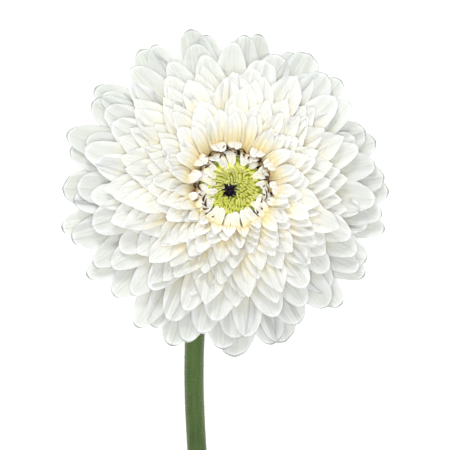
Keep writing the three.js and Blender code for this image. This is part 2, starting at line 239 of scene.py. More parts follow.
# Grows one kind of blade. The plan gives each floret its place, and the outline its width on the way.
def bladeTree(name, sizes, plan, outline, material):
    tree, size = newTree(name, sizes)

    # One strip for each floret, all on the same spot, told apart by their number.
    strip = add(tree, "GeometryNodeMeshCube", [(1, 1, 1), size["rows"], size["columns"], 2])
    spots = add(tree, "GeometryNodePoints", [size["count"]])
    order = add(tree, "GeometryNodeInputIndex")
    order = add(tree, "ShaderNodeMath", [order, size["firstNumber"]], operation="ADD")
    spots = add(tree, "GeometryNodeStoreNamedAttribute", [spots, None, "number", order], data_type="FLOAT")
    florets = add(tree, "GeometryNodeInstanceOnPoints", [spots, None, strip])
    florets = add(tree, "GeometryNodeRealizeInstances", [florets])
    number = add(tree, "GeometryNodeInputNamedAttribute", ["number"], data_type="FLOAT")
    floret = {"tone": "tone", **dict(size.items()), **plan(tree, size, number)}

    place = add(tree, "ShaderNodeSeparateXYZ", [add(tree, "GeometryNodeInputPosition")])
    x, y, z = place.node.outputs
    side = add(tree, "ShaderNodeMath", [y, 2], operation="MULTIPLY")  # -1 to 1
    rest = add(tree, "ShaderNodeMath", [0.5, x], operation="SUBTRACT")
    rest = add(tree, "ShaderNodeMath", [rest, 1.35], operation="POWER")  # rows stand closer near the tip
    row = add(tree, "ShaderNodeMath", [1, rest], operation="SUBTRACT")  # 0 at the root and 1 at the tip

    # The strip's end is rounded by drawing its corners back, on some florets more than on others.
    bend = add(tree, "ShaderNodeMath", [side], operation="ABSOLUTE")
    bend = add(tree, "ShaderNodeMath", [bend, size["tipBend"]], operation="POWER")
    most = strayed(tree, number, "curl", 1, 0.5)
    most = add(tree, "ShaderNodeMath", [most, size["tipRound"]], operation="MULTIPLY")
    nearTip = add(tree, "ShaderNodeMapRange", [row, 0.35, 1, 0, most], interpolation_type="SMOOTHSTEP")
    drawnBack = add(tree, "ShaderNodeMath", [nearTip, bend], operation="MULTIPLY")
    along = add(tree, "ShaderNodeMath", [row, drawnBack], operation="SUBTRACT")

    # What the materials read: a map of the blade's face, and the floret's layer and tone.
    face = add(tree, "ShaderNodeMath", [side, 0.5, 0.5], operation="MULTIPLY_ADD")
    face = add(tree, "ShaderNodeCombineXYZ", [face, along])
    florets = add(
        tree, "GeometryNodeStoreNamedAttribute", [florets, None, "UVMap", face],
        data_type="FLOAT2", domain="CORNER",
    )
    tone = strayed(tree, number, floret["tone"], 0.5, 1)
    for key, value in (("layer", floret["layer"]), ("tone", tone)):
        florets = add(tree, "GeometryNodeStoreNamedAttribute", [florets, None, key, value], data_type="FLOAT")

    middle, upper = midline(tree, floret, along)
    half = add(tree, "ShaderNodeFloatCurve", [1, row], points=outline)
    half = add(tree, "ShaderNodeMath", [half, floret["width"]], operation="MULTIPLY")
    half = add(tree, "ShaderNodeMath", [half, 0.5], operation="MULTIPLY")
    aside, rise = crossSection(tree, floret, number, half, row, side, z)
    sway = add(tree, "ShaderNodeMath", [along, along], operation="MULTIPLY")
    sway = add(tree, "ShaderNodeMath", [sway, scattered(tree, number, "sway")], operation="MULTIPLY")
    aside = add(tree, "ShaderNodeMath", [sway, size["sway"], aside], operation="MULTIPLY_ADD")
    aside = add(tree, "ShaderNodeCombineXYZ", [0, aside, 0])
    lift = add(tree, "ShaderNodeVectorMath", [upper, rise], operation="SCALE")
    spot = add(tree, "ShaderNodeVectorMath", [middle, lift], operation="ADD")
    spot = add(tree, "ShaderNodeVectorMath", [spot, aside], operation="ADD")
    spot = add(tree, "ShaderNodeVectorRotate", [spot, (0, 0, 0), floret["azimuth"]], rotation_type="Z_AXIS")
    if "shift" in floret:
        spot = add(tree, "ShaderNodeVectorMath", [spot, floret["shift"]], operation="ADD")
    florets = add(tree, "GeometryNodeSetPosition", [florets, None, laidOnTable(tree, spot, z)])

    angle = add(tree, "GeometryNodeInputMeshEdgeAngle")
    sharp = math.radians(50)
    crisp = add(tree, "FunctionNodeCompare", [angle, sharp], data_type="FLOAT", operation="GREATER_THAN")
    florets = add(tree, "GeometryNodeSetShadeSmooth", [florets, crisp, False], domain="EDGE")
    florets = add(tree, "GeometryNodeRealizeInstances", [florets])
    florets = add(tree, "GeometryNodeSetMaterial", [florets, None, material])
    add(tree, "NodeGroupOutput", [florets])
    return tree


def growBlades(name, sizes, plan, outline, material, node):
    finished(grown(name, bladeTree(name, sizes, plan, outline, material), sizes), node)


def newMaterial(name):
    material = bpy.data.materials.new(name)
    material.use_nodes = True
    material.node_tree.nodes.clear()
    return material, material.node_tree


def surfaced(tree, shader):
    add(tree, "ShaderNodeOutputMaterial", [shader])


# A noise's scale on Object coordinates, which are in metres, from the size of its grain in mm.
def scaleFor(grain):
    return 1000 / grain


# Living petal: soft, waxy and a little see-through, cream at its foot and white towards its tip.
# The outermost petals have a tip colour of their own, and painted shade along their middle, where the next
# petals cover them.
def petalFinish(name, foot, belly, tip, outerPaintedShade, outerTip, width=13, veinGap=1):
    material, tree = newMaterial(name)
    place = add(tree, "ShaderNodeSeparateXYZ", [add(tree, "ShaderNodeUVMap", uv_map="UVMap")])
    across, along = place.node.outputs["X"], place.node.outputs["Y"]
    layer = add(tree, "ShaderNodeAttribute", attribute_name="layer").node.outputs["Fac"]
    tone = add(tree, "ShaderNodeAttribute", attribute_name="tone").node.outputs["Fac"]
    inner = add(tree, "ShaderNodeValToRGB", [along], stops=[(0.2, foot), (0.56, belly), (0.84, tip)])
    # Painted shade: the outer ramp darkens at its middle, where the next petal covers this one.
    outer = add(tree, "ShaderNodeValToRGB", [along], stops=[(0.2, foot), (0.5, outerPaintedShade), (0.84, outerTip)])
    inwards = add(tree, "ShaderNodeMapRange", [layer, 0.05, 0.8, 0, 1])
    colour = add(tree, "ShaderNodeMix", [inwards, outer, inner], data_type="RGBA")

    # Veins run nearly the length of the petal and differ from petal to petal. The gap between them, in mm,
    # is about twice what it is in life, so that they show.
    veinPlace = add(tree, "ShaderNodeMath", [across, width / veinGap], operation="MULTIPLY")
    veinPlace = add(tree, "ShaderNodeCombineXYZ", [veinPlace, along, layer])
    veinPlace = add(tree, "ShaderNodeVectorMath", [veinPlace, (1, 1.3, 40)], operation="MULTIPLY")
    veins = add(tree, "ShaderNodeTexNoise", {
        "Vector": veinPlace, "Scale": 1.0, "Detail": 2.0, "Roughness": 0.55,
    })
    veined = add(tree, "ShaderNodeMapRange", [veins, 0.35, 0.7, 0, 0.08])
    colour = add(tree, "ShaderNodeMix", [veined, colour, "#e2e3d6"], data_type="RGBA")

    # Painted shade: some petals are painted greyer than others, at random, most of all the outermost, for the
    # shade that the lower petals lie in.
    paintedShadeMost = add(tree, "ShaderNodeMapRange", [layer, 0.02, 0.3, 0.4, 0.06])
    paintedShade = add(tree, "ShaderNodeMapRange", [tone, 0.35, 1, 0, paintedShadeMost])
    colour = add(tree, "ShaderNodeMix", [paintedShade, colour, "#b4bab2"], data_type="RGBA")

    # Two faint grooves, each a fourteenth of the width, draw together towards the tip. They are painted grey,
    # as painted shade in the creases.
    off = add(tree, "ShaderNodeMath", [across, 0.5], operation="SUBTRACT")
    off = add(tree, "ShaderNodeMath", [off], operation="ABSOLUTE")  # 0 in the middle and 0.5 at the edges
    grooveAt = add(tree, "ShaderNodeMapRange", [along, 0.6, 1, 0.167, 0.04])
    groove = add(tree, "ShaderNodeMath", [off, grooveAt], operation="SUBTRACT")
    groove = add(tree, "ShaderNodeMath", [groove], operation="ABSOLUTE")
    groove = add(tree, "ShaderNodeMapRange", [groove, 0.0, 0.035, 1, 0], interpolation_type="SMOOTHSTEP")
    grooveShade = add(tree, "ShaderNodeMapRange", [layer, 0, 0.6, 0.12, 0.04])
    grooveShade = add(tree, "ShaderNodeMath", [groove, grooveShade], operation="MULTIPLY")
    colour = add(tree, "ShaderNodeMix", [grooveShade, colour, "#b9bdb8"], data_type="RGBA")

    # Painted highlight: the rim is painted whiter than the petal, for half a millimetre, and rounds the tip's
    # corners.
    corner = add(tree, "ShaderNodeMath", [off, 2], operation="MULTIPLY")
    corner = add(tree, "ShaderNodeMath", [corner, 2.2], operation="POWER")
    tipward = add(tree, "ShaderNodeMath", [corner, 0.1, along], operation="MULTIPLY_ADD")
    tipRim = add(tree, "ShaderNodeMapRange", [tipward, 0.958, 1.0, 0, 1])
    rim = add(tree, "ShaderNodeMapRange", [off, 0.445, 0.5, 0, 1])
    rim = add(tree, "ShaderNodeMath", [rim, tipRim], operation="MAXIMUM")
    rimHighlightMost = add(tree, "ShaderNodeMapRange", [layer, 0.05, 0.4, 0.3, 0.5])
    rimHighlight = add(tree, "ShaderNodeMapRange", [rim, 0.3, 0.7, 0, rimHighlightMost])
    colour = add(tree, "ShaderNodeMix", [rimHighlight, colour, "#ffffff"], data_type="RGBA")

    # Painted shade: a thin grey line at the very edge, where the petal is seen edge on, draws the outer
    # petals against the white ground.
    edgeShadeLine = add(tree, "ShaderNodeMapRange", [rim, 0.6, 0.8, 0, 1])
    drawn = add(tree, "ShaderNodeMapRange", [layer, 0, 0.4, 1, 0])
    edgeShadeLine = add(tree, "ShaderNodeMath", [edgeShadeLine, drawn], operation="MULTIPLY")
    colour = add(tree, "ShaderNodeMix", [edgeShadeLine, colour, "#9fa4a1"], data_type="RGBA")

    # A small greyish mark where the grooves meet, spread into painted shade in the hollow of the cupped tip.
    tipHollowShade = add(tree, "ShaderNodeMapRange", [off, 0.1, 0.4, 1, 0], interpolation_type="SMOOTHSTEP")
    nearTip = add(tree, "ShaderNodeFloatCurve", [1, tipward], points=[(0.7, 0), (0.9, 0.34), (0.97, 0)])
    tipHollowShade = add(tree, "ShaderNodeMath", [tipHollowShade, nearTip], operation="MULTIPLY")
    colour = add(tree, "ShaderNodeMix", [tipHollowShade, colour, "#c3c5b8"], data_type="RGBA")

    height = add(tree, "ShaderNodeMath", [groove, -0.6, veins], operation="MULTIPLY_ADD")
    bump = add(tree, "ShaderNodeBump", {"Strength": 0.4, "Distance": 0.0004, "Height": height})
    surfaced(tree, add(tree, "ShaderNodeBsdfPrincipled", {
        "Base Color": colour, "Roughness": 0.52, "IOR": 1.4, "Subsurface Weight": 0.4,
        "Subsurface Radius": (1.0, 0.97, 0.85), "Subsurface Scale": 0.0012, "Normal": bump,
    }))
    return material


# Plant skin: coloured from foot to tip, with fine specks. In life the specks are a tenth of a millimetre
# and less, so their grain, in mm, is as coarse as it has to be to show.
def skinFinish(name, stops, roughness, specked, dark, grain=1.11):
    material, tree = newMaterial(name)
    place = add(tree, "ShaderNodeSeparateXYZ", [add(tree, "ShaderNodeUVMap", uv_map="UVMap")])
    tone = add(tree, "ShaderNodeAttribute", attribute_name="tone").node.outputs["Fac"]
    shift = add(tree, "ShaderNodeMapRange", [tone, 0, 1, -0.1, 0.1])
    along = add(tree, "ShaderNodeMath", [place.node.outputs["Y"], shift], operation="ADD")
    colour = add(tree, "ShaderNodeValToRGB", [along], stops=stops)
    where = add(tree, "ShaderNodeTexCoord").node.outputs["Object"]
    specks = add(tree, "ShaderNodeTexNoise", {"Vector": where, "Scale": scaleFor(grain), "Detail": 3.0})
    darkened = add(tree, "ShaderNodeMapRange", [specks, 0.42, 0.75, 0, specked])
    colour = add(tree, "ShaderNodeMix", [darkened, colour, dark], data_type="RGBA")
    bump = add(tree, "ShaderNodeBump", {"Strength": 0.3, "Distance": 0.0003, "Height": specks})
    surfaced(tree, add(tree, "ShaderNodeBsdfPrincipled", {
        "Base Color": colour, "Roughness": roughness, "IOR": 1.4, "Subsurface Weight": 0.12,
        "Subsurface Radius": (0.9, 1.0, 0.4), "Subsurface Scale": 0.0008, "Normal": bump,
    }))
    return material


# Gives the bloom its soft white: cream in the depths, faint creases, a painted highlight on the rim round
# each tip, and painted shade in the grooves, at the edge, in the tips' hollows and on the outermost petals.
whitePetal = petalFinish("waxy white petal", "#f6dc94", "#f5e8bc", "#f8f8f3", "#cfcbb1", "#dde0de")
# What shows in the depth between the petals, so it is like their feet.
petalFlesh = skinFinish(
    "pale cream petal flesh", [(0, "#efe8cf"), (1, "#efe8cf")], 0.6, 0.3, "#dfd6b0", grain=3.33
)

# White petals, numbered from the outside in and made in three pieces.
petals = {
    **blade,
    "petalsInAll": 320.0, "largeOnes": 88.0,
    "largeShare": 0.4,  # the large ones take up this much of the way in
    "largeEase": 1.5, "crowding": 1.25,  # over 1, petals stand closer at the outside, and at the disc
    "outerReach": 57.0, "innerReach": 20.0, "reachJitter": 6.5,
    "fuller": 2.5, "fullerAt": 108.0,  # the bloom reaches further to this side
    "innerFuller": 2.4,  # and the innermost petals further to the far side
    "crown": 18.7, "domeRadius": 62.0, "heightJitter": 3.0,  # of the dome that the tips lie on
    "outerWidth": 14.0, "innerWidth": 4.0, "widthJitter": 0.26,  # the jitter is a share of the width
    "outerRootRadius": 13.4, "innerRootRadius": 11.9, "outerRootHeight": -0.3, "innerRootHeight": 8.2,
    "outerLeavesAt": 13.0, "innerLeavesAt": 62.0, "outerEndsAt": -8.0, "innerEndsAt": 4.0, "curlJitter": 36.0,
    "turnJitter": 0.3,  # in radians
    "groove": 0.038,
}
outerPetals = {
    **petals, "count": 88, "rows": 14, "columns": 13, "turnJitter": 0.16,
    "cup": 0.08, "tipLift": 0.5, "sway": 6.0, "tipRound": 0.13,
}
middlePetals = {
    **petals, "firstNumber": 88, "count": 122, "rows": 11, "columns": 7, "outerWidth": 14.8,
    "cup": 0.16, "tipLift": 0.8, "sway": 4.0, "tipRound": 0.2, "tipBend": 1.4,
}
innerPetals = {
    **petals, "firstNumber": 210, "count": 110, "rows": 11, "columns": 7,
    "cup": 0.16, "tipLift": 0.8, "sway": 3.0, "tipRound": 0.16, "tipBend": 1.8,
}
egg = [(0, 0.34), (0.3, 0.76), (0.55, 0.98), (0.7, 1.0), (0.87, 0.93), (1, 0.76)]
shield = [(0, 0.4), (0.3, 0.82), (0.55, 1.0), (0.74, 1.0), (0.9, 0.98), (1, 0.88)]


# A plan says what is a floret's own, and the rest of the floret is as its sizes say.
def petalPlan(tree, size, number):
    last = add(tree, "ShaderNodeMath", [size["petalsInAll"], 1], operation="SUBTRACT")
    large = add(tree, "ShaderNodeMapRange", [number, 0, size["largeOnes"], 0, 1])
    large = add(tree, "ShaderNodeMath", [large, size["largeEase"]], operation="POWER")
    large = add(tree, "ShaderNodeMath", [large, size["largeShare"]], operation="MULTIPLY")
    left = add(tree, "ShaderNodeMapRange", [number, size["largeOnes"], last, 1, 0])
    left = add(tree, "ShaderNodeMath", [left, size["crowding"]], operation="POWER")
    inwards = add(tree, "ShaderNodeMix", [left, 1, large])  # 0 at the outermost petal and 1 at the innermost
    golden = add(tree, "ShaderNodeMath", [number, goldenAngle], operation="MULTIPLY")
    azimuth = strayed(tree, number, "turn", golden, size["turnJitter"])

    # How far a petal reaches: evenly less inwards, then further to one side, then by chance, which is
    # widest halfway in.
    even = add(tree, "ShaderNodeMix", [inwards, size["outerReach"], size["innerReach"]])
    out = add(tree, "ShaderNodeMath", [even, size["outerReach"]], operation="DIVIDE")
    out = add(tree, "ShaderNodeMath", [out, 2], operation="POWER")
    fuller = towards(tree, azimuth, size["fullerAt"])
    fuller = add(tree, "ShaderNodeMath", [out, fuller], operation="MULTIPLY")
    reach = add(tree, "ShaderNodeMath", [fuller, size["fuller"], even], operation="MULTIPLY_ADD")
    upwards = add(tree, "ShaderNodeMath", [azimuth], operation="SINE")
    upwards = add(tree, "ShaderNodeMath", [upwards, inwards], operation="MULTIPLY")
    upwards = add(tree, "ShaderNodeMath", [upwards, inwards], operation="MULTIPLY")
    reach = add(tree, "ShaderNodeMath", [upwards, size["innerFuller"], reach], operation="MULTIPLY_ADD")
    jitter = add(tree, "ShaderNodeFloatCurve", [1, inwards], points=[(0, 0.3), (0.5, 0.75), (1, 0.3)])
    jitter = add(tree, "ShaderNodeMath", [jitter, size["reachJitter"]], operation="MULTIPLY")

    dome = add(tree, "ShaderNodeMath", [even, 2], operation="POWER")
    dome = add(tree, "ShaderNodeMath", [dome, size["domeRadius"]], operation="DIVIDE")
    height = add(tree, "ShaderNodeMath", [dome, -0.5, size["crown"]], operation="MULTIPLY_ADD")
    endsAt = add(tree, "ShaderNodeMix", [inwards, size["outerEndsAt"], size["innerEndsAt"]])
    width = add(tree, "ShaderNodeMix", [inwards, size["outerWidth"], size["innerWidth"]])
    girth = strayed(tree, number, "girth", 1, size["widthJitter"])
    return {
        "azimuth": azimuth,
        "rootRadius": add(tree, "ShaderNodeMix", [inwards, size["outerRootRadius"], size["innerRootRadius"]]),
        "rootHeight": add(tree, "ShaderNodeMix", [inwards, size["outerRootHeight"], size["innerRootHeight"]]),
        "leavesAt": add(tree, "ShaderNodeMix", [inwards, size["outerLeavesAt"], size["innerLeavesAt"]]),
        "tipRadius": strayed(tree, number, "reach", reach, jitter),
        "tipHeight": strayed(tree, number, "height", height, size["heightJitter"]),
        "endsAt": strayed(tree, number, "curl", endsAt, size["curlJitter"]),
        "width": add(tree, "ShaderNodeMath", [width, girth], operation="MULTIPLY"),
        "layer": inwards,
    }


for name, sizes, outline in (
    ("outerPetals", outerPetals, egg),
    ("middlePetals", middlePetals, shield),
    ("innerPetals", innerPetals, shield),
):
    growBlades(name, sizes, petalPlan, outline, whitePetal, "ray_florets")

# The base that the petals and the curled florets stand on, under the disc and out to a thin rim.
heart = [
    (0, -1.5), (13.4, -1.5), (14.2, -0.6), (16, 0.8), (24, 2.8), (31, 3.6), (33.4, 4.1), (30.5, 5.8),
    (25, 8.6), (19, 10.8), (16.4, 9.6), (14.6, 8.4), (12.6, 8.4), (11.5, 8.6), (11.2, 8.2), (11.2, 3.7),
    (0, 3.7),
]
finished(turned("petalHeart", heart, 48, petalFlesh), "ray_florets")


# A warmer, plainer white than the petals', so that the curls stand out from what is behind them.
creamPetal = petalFinish(
    "cream curled petal", "#ead08a", "#f6ebbe", "#faf6e6", "#f6ebbe", "#faf6e6", width=2.5, veinGap=0.5
)
# The same with a brown foot: painted brown shade between the curls.
shadeFootPetal = petalFinish(
    "shade-footed curled petal", "#9c6a36", "#dcba7c", "#faf6ea", "#dcba7c", "#faf6ea", width=2.5, veinGap=0.5
)

# Curls: the cream florets that stand round the disc and bend over it, in four rows.
curls = {
    **blade, "rows": 13, "columns": 7, "count": 23,
    "from": -42.0, "round": 266.0, "turnJitter": 0.6,  # the jitter is a share of the gap between two
    "rootRadius": 11.9, "rootHeight": 7.6, "leavesAt": 80.0,
    "tipRadius": 7.4, "tipHeight": 12.0, "heightJitter": 1.2, "endsAt": 206.0,
    "lopsided": 1.1, "lopsidedAt": 185.0,  # they bend further over the disc on this side
    "spread": 2.4, "spreadTurn": 14.0,  # of their reach, and how much more they bend for each mm of it
    "width": 2.1, "widthJitter": 0.8, "rim": -0.5, "cup": 0.06, "groove": 0.03,
    "tipRound": 0.07, "tipBend": 3.2, "sway": 2.0, "bow": 0.7,
}
outerCurls = {
    **curls, "count": 15, "from": -40.0, "round": 260.0, "width": 2.2, "rootRadius": 12.3, "bow": 0.55,
    "tipRadius": 9.8, "tipHeight": 13.6, "endsAt": 165.0, "lopsided": 0.5, "spread": 2.2,
    "roll": 0.8, "sway": 3.5,
}
uprightCurls = {
    **curls, "count": 16, "from": -25.0, "round": 230.0, "width": 2.9, "rootRadius": 12.4, "leavesAt": 56.0,
    "bow": 0.75, "tipRadius": 12.0, "tipHeight": 14.6, "endsAt": 168.0, "lopsided": 0.3, "spread": 1.6,
    "cup": 0.1, "sway": 3.0,
}
# On the near side they are broad, bulge outwards first and close the gap to the petals.
nearCurls = {
    **curls, "count": 18, "from": 206.0, "round": 128.0, "width": 2.6, "rootRadius": 12.5, "rootHeight": 8.0,
    "leavesAt": 48.0, "bow": 0.9, "tipRadius": 9.2, "tipHeight": 12.6, "endsAt": 190.0, "lopsided": 0.0,
    "cup": 0.08, "roll": 0.7, "sway": 3.0,
}
ribbon = [(0, 0.6), (0.4, 0.75), (0.75, 0.95), (0.9, 1.0), (1, 0.9)]


# Shares out a row of florets round the disc, each a little off its place.
def roundDisc(tree, size, number):
    place = strayed(tree, number, "turn", number, size["turnJitter"])
    place = add(tree, "ShaderNodeMath", [place, size["count"]], operation="DIVIDE")
    azimuth = add(tree, "ShaderNodeMath", [place, size["round"], size["from"]], operation="MULTIPLY_ADD")
    return add(tree, "ShaderNodeMath", [azimuth], operation="RADIANS")


def curlPlan(tree, size, number):
    azimuth = roundDisc(tree, size, number)
    bend = strayed(tree, number, "reach", 0, size["spread"])
    over = towards(tree, azimuth, size["lopsidedAt"])
    over = add(tree, "ShaderNodeMath", [over, size["lopsided"], bend], operation="MULTIPLY_ADD")
    endsAt = add(tree, "ShaderNodeMath", [bend, size["spreadTurn"], size["endsAt"]], operation="MULTIPLY_ADD")
    return {
        "azimuth": azimuth,
        "tipRadius": add(tree, "ShaderNodeMath", [size["tipRadius"], over], operation="SUBTRACT"),
        "tipHeight": strayed(tree, number, "height", size["tipHeight"], size["heightJitter"]),
        "endsAt": endsAt,
        "width": strayed(tree, number, "tone", size["width"], size["widthJitter"]),
        "tone": "height",
    }


for name, sizes, material in (
    ("innerFlorets", curls, creamPetal),
    ("outerCurls", outerCurls, shadeFootPetal),
    ("uprightCurls", uprightCurls, shadeFootPetal),
    ("nearCurls", nearCurls, creamPetal),
):
    growBlades(name, sizes, curlPlan, ribbon, material, "inner_florets")


# The dark flecks between the curls, reddish at their tips.
brownDown = skinFinish(
    "dry brown pappus", [(0.1, "#1f1210"), (0.6, "#3a1f18"), (1, "#7a4a30")], 0.7, 0.5, "#180c0a"
)

# Slivers of dried down, in the gap outside the curls.
slivers = {
    **blade, "rows": 9, "count": 40, "from": -50.0, "round": 285.0, "turnJitter": 0.9,
    "rootRadius": 11.3, "rootSpread": 1.2, "rootHeight": 8.0, "leavesAt": 85.0,
    "tipRadius": 11.0, "tipSpread": 3.4, "tipHeight": 14.8, "heightJitter": 2.2, "endsAt": 150.0,
    "width": 0.95, "thickness": 0.35, "rim": -0.5, "cup": 0.1, "tipRound": 0.05, "roll": 0.6, "sway": 8.0,
    "bow": 0.45,
}
needle = [(0, 0.9), (0.5, 1.0), (0.85, 0.6), (1, 0.12)]


def sliverPlan(tree, size, number):
    return {
        "azimuth": roundDisc(tree, size, number),
        "rootRadius": strayed(tree, number, "reach", size["rootRadius"], size["rootSpread"]),
        "tipRadius": strayed(tree, number, "reach", size["tipRadius"], size["tipSpread"]),
        "tipHeight": strayed(tree, number, "height", size["tipHeight"], size["heightJitter"]),
        "tone": "reach",
    }


growBlades("pappusSlivers", slivers, sliverPlan, needle, brownDown, "inner_florets")


# Olive at the foot and pale at the tip, which draws each bud of the disc as a stroke of light.
greenBud = skinFinish("yellow-green closed bud", [
    (0.1, "#87922a"), (0.35, "#c0ca36"), (0.65, "#e4e855"), (1, "#f6f4b0"),
], 0.45, 0.12, "#a9b443", grain=0.714)
# The shade between the buds.
oliveBowl = skinFinish("olive disc floor", [(0, "#a9b246"), (1, "#a9b246")], 0.6, 0.4, "#7f8a34")

# Disc buds, from the eye out to the rim of the bowl.
buds = {
    **blade, "count": 230, "innerRadius": 2.1, "outerRadius": 9.7,
    "crowding": 0.58,  # 0.5 spaces them evenly, and more draws them together at the eye
    "floor": 7.2, "floorRise": 2.6, "innerHeight": 2.0, "outerHeight": 3.6, "heightJitter": 0.9,
    "innerLean": 0.6, "outerLean": 2.2, "farLean": 1.2, "leanJitter": 0.9,  # of the tips, towards the eye
    "leavesAt": 88.0, "innerEndsAt": 105.0, "outerEndsAt": 135.0,
    "innerWidth": 0.7, "outerWidth": 1.15, "thickness": 0.75, "rim": -0.4, "sway": 1.3,
}
discShift = (-0.7, -0.9, 0)  # the eye isn't quite in the middle
closedBud = [(0, 0.6), (0.3, 0.85), (0.6, 1.0), (0.82, 0.7), (1, 0.12)]


# How far out a bud stands: 0 in the middle of its spiral and 1 at the edge.
def shareOut(tree, size, number):
    share = add(tree, "ShaderNodeMath", [number, 0.5], operation="ADD")
    share = add(tree, "ShaderNodeMath", [share, size["count"]], operation="DIVIDE")
    return add(tree, "ShaderNodeMath", [share, size["crowding"]], operation="POWER")


def budPlan(tree, size, number):
    share = shareOut(tree, size, number)
    radius = add(tree, "ShaderNodeMix", [share, size["innerRadius"], size["outerRadius"]])
    foot = add(tree, "ShaderNodeMath", [share, 2.0], operation="POWER")
    foot = add(tree, "ShaderNodeMath", [foot, size["floorRise"], size["floor"]], operation="MULTIPLY_ADD")
    tall = add(tree, "ShaderNodeMix", [share, size["innerHeight"], size["outerHeight"]])
    tall = strayed(tree, number, "height", tall, size["heightJitter"])
    azimuth = add(tree, "ShaderNodeMath", [number, goldenAngle], operation="MULTIPLY")
    upwards = add(tree, "ShaderNodeMath", [azimuth], operation="SINE")
    upwards = add(tree, "ShaderNodeMath", [upwards, share], operation="MULTIPLY")
    lean = add(tree, "ShaderNodeMix", [share, size["innerLean"], size["outerLean"]])
    lean = add(tree, "ShaderNodeMath", [upwards, size["farLean"], lean], operation="MULTIPLY_ADD")
    lean = strayed(tree, number, "reach", lean, size["leanJitter"])
    shift = add(tree, "ShaderNodeMath", [1, share], operation="SUBTRACT")
    return {
        "azimuth": azimuth,
        "rootRadius": radius,
        "rootHeight": foot,
        "tipRadius": add(tree, "ShaderNodeMath", [radius, lean], operation="SUBTRACT"),
        "tipHeight": add(tree, "ShaderNodeMath", [foot, tall], operation="ADD"),
        "endsAt": add(tree, "ShaderNodeMix", [share, size["innerEndsAt"], size["outerEndsAt"]]),
        "width": add(tree, "ShaderNodeMix", [share, size["innerWidth"], size["outerWidth"]]),
        "shift": add(tree, "ShaderNodeVectorMath", [discShift, shift], operation="SCALE"),
    }


growBlades("discFlorets", buds, budPlan, closedBud, greenBud, "disc_florets")
bowl = [
    (0, 6.4), (10.6, 6.4), (10.7, 10.4), (10.2, 10.6), (9.2, 9.8), (7.4, 8.8), (4.5, 8), (3.2, 7.5),
    (2.4, 7.2), (0, 7.2),
]
finished(turned("discBowl", bowl, 36, oliveBowl), "disc_florets")


# Nearly black, with a purple bloom on the tips: the eye is the darkest spot of the flower.
darkBud = skinFinish(
    "purple-black closed bud", [(0.2, "#0d0a12"), (0.8, "#221a2e"), (1, "#4c4258")], 0.5, 0.3, "#08060c"
)

# Dark eye: a knot of closed buds at the bottom of the bowl.
eye = {
    **blade, "count": 52, "crowding": 0.5, "rootRadius": 1.5, "tipRadius": 2.8, "reachJitter": 1.3,
    "rootHeight": 7.55, "height": 2.0, "edgeDrop": -0.5, "heightJitter": 0.4,
    "innerLeavesAt": 88.0, "outerLeavesAt": 60.0, "innerEndsAt": 85.0, "outerEndsAt": 35.0,
    "width": 0.6, "thickness": 0.45, "rim": -0.45, "sway": 0.9,
}


def eyePlan(tree, size, number):
    share = shareOut(tree, size, number)
    tip = add(tree, "ShaderNodeMath", [share, size["tipRadius"]], operation="MULTIPLY")
    tall = add(tree, "ShaderNodeMath", [share, size["edgeDrop"], size["height"]], operation="MULTIPLY_ADD")
    tall = strayed(tree, number, "height", tall, size["heightJitter"])
    return {
        "azimuth": add(tree, "ShaderNodeMath", [number, goldenAngle], operation="MULTIPLY"),
        "rootRadius": add(tree, "ShaderNodeMath", [share, size["rootRadius"]], operation="MULTIPLY"),
        "leavesAt": add(tree, "ShaderNodeMix", [share, size["innerLeavesAt"], size["outerLeavesAt"]]),
        "tipRadius": strayed(tree, number, "reach", tip, size["reachJitter"]),
        "tipHeight": add(tree, "ShaderNodeMath", [tall, size["rootHeight"]], operation="ADD"),
        "endsAt": add(tree, "ShaderNodeMix", [share, size["innerEndsAt"], size["outerEndsAt"]]),
        "shift": discShift,
    }


growBlades("discEye", eye, eyePlan, closedBud, darkBud, "disc_eye")


# Dull green with a brown point, pale where the down is thick.
greenBract = skinFinish("downy green bract", [
    (0.05, "#7c9a55"), (0.5, "#5b7d3a"), (0.85, "#4c6b30"), (1, "#7a4f3a"),
], 0.6, 0.35, "#3c5a28")

# Bracts, in three rows round the green cup.
bracts = {
    **blade, "rows": 7, "columns": 5, "count": 57, "perRow": 19.0, "cupRadius": 20.0,
    "rootHeight": -9.8, "rowRise": 2.8, "leavesAt": 60.0, "endsAt": 12.0,
    "length": 8.6, "lengthJitter": 1.2, "runsOut": 0.82, "runsUp": 0.5,  # out and up for each mm of length
    "width": 2.9, "thickness": 0.7, "cup": 0.1, "groove": 0.02, "tipRound": 0.06, "roll": 0.2,
}
cupWall = [(0, 0.27), (0.5, 0.44), (1, 0.575)]  # from row to row, in shares of cupRadius
pointed = [(0, 0.75), (0.25, 1.0), (0.6, 0.8), (0.85, 0.42), (1, 0.08)]


